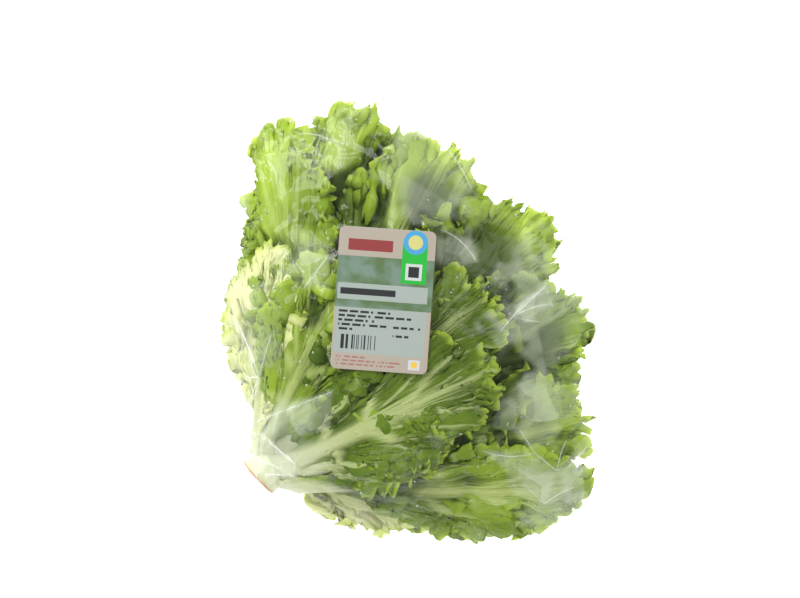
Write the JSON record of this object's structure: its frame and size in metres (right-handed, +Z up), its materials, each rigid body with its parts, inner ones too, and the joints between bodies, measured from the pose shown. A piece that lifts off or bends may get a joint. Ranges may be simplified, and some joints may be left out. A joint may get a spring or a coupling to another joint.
{
  "type": "head of lettuce",
  "caption": "Head of curly lettuce lying on its side, frilled leaves fanning from a short cut stem, in a clear film sleeve with a plain label on top.",
  "frame": {"origin": "on the table under the middle of the part's bounding box", "axes": "+Z up from the table; the cut stem lies towards -X and -Y and the leaf tips fan out towards +X and +Y; +Y is the part's longest way"},
  "size_m": [0.2582, 0.3019, 0.0964],
  "materials": {
    "stem": "satin",
    "film": "gloss",
    "label": "satin",
    "leaf_under": "satin",
    "leaf_heart": "satin",
    "leaf_outer": "satin"
  },
  "bodies": {
    "root": {"stem": "stem", "film_sleeve": "film", "label": "label", "leaf_under_right": "leaf_under", "leaf_under_left": "leaf_under", "leaf_under_middle": "leaf_under", "leaf_under_low": "leaf_under", "leaf_under_high": "leaf_under", "leaf_bottom_low": "leaf_under", "leaf_heart_right": "leaf_heart", "leaf_heart_left": "leaf_heart", "leaf_heart_middle": "leaf_heart", "leaf_heart_low": "leaf_heart", "leaf_heart_high": "leaf_heart", "leaf_inner_high": "leaf_heart", "leaf_inner_low": "leaf_heart", "leaf_top_back": "leaf_outer", "leaf_upper_right": "leaf_outer", "leaf_right_back": "leaf_outer", "leaf_right_middle": "leaf_outer", "leaf_top_left": "leaf_outer", "leaf_left_outer": "leaf_outer", "leaf_right_low": "leaf_outer", "leaf_bottom": "leaf_outer", "leaf_lower_front": "leaf_outer", "leaf_upper_front": "leaf_outer", "leaf_left_front": "leaf_outer", "leaf_middle": "leaf_outer"}
  },
  "joints": []
}
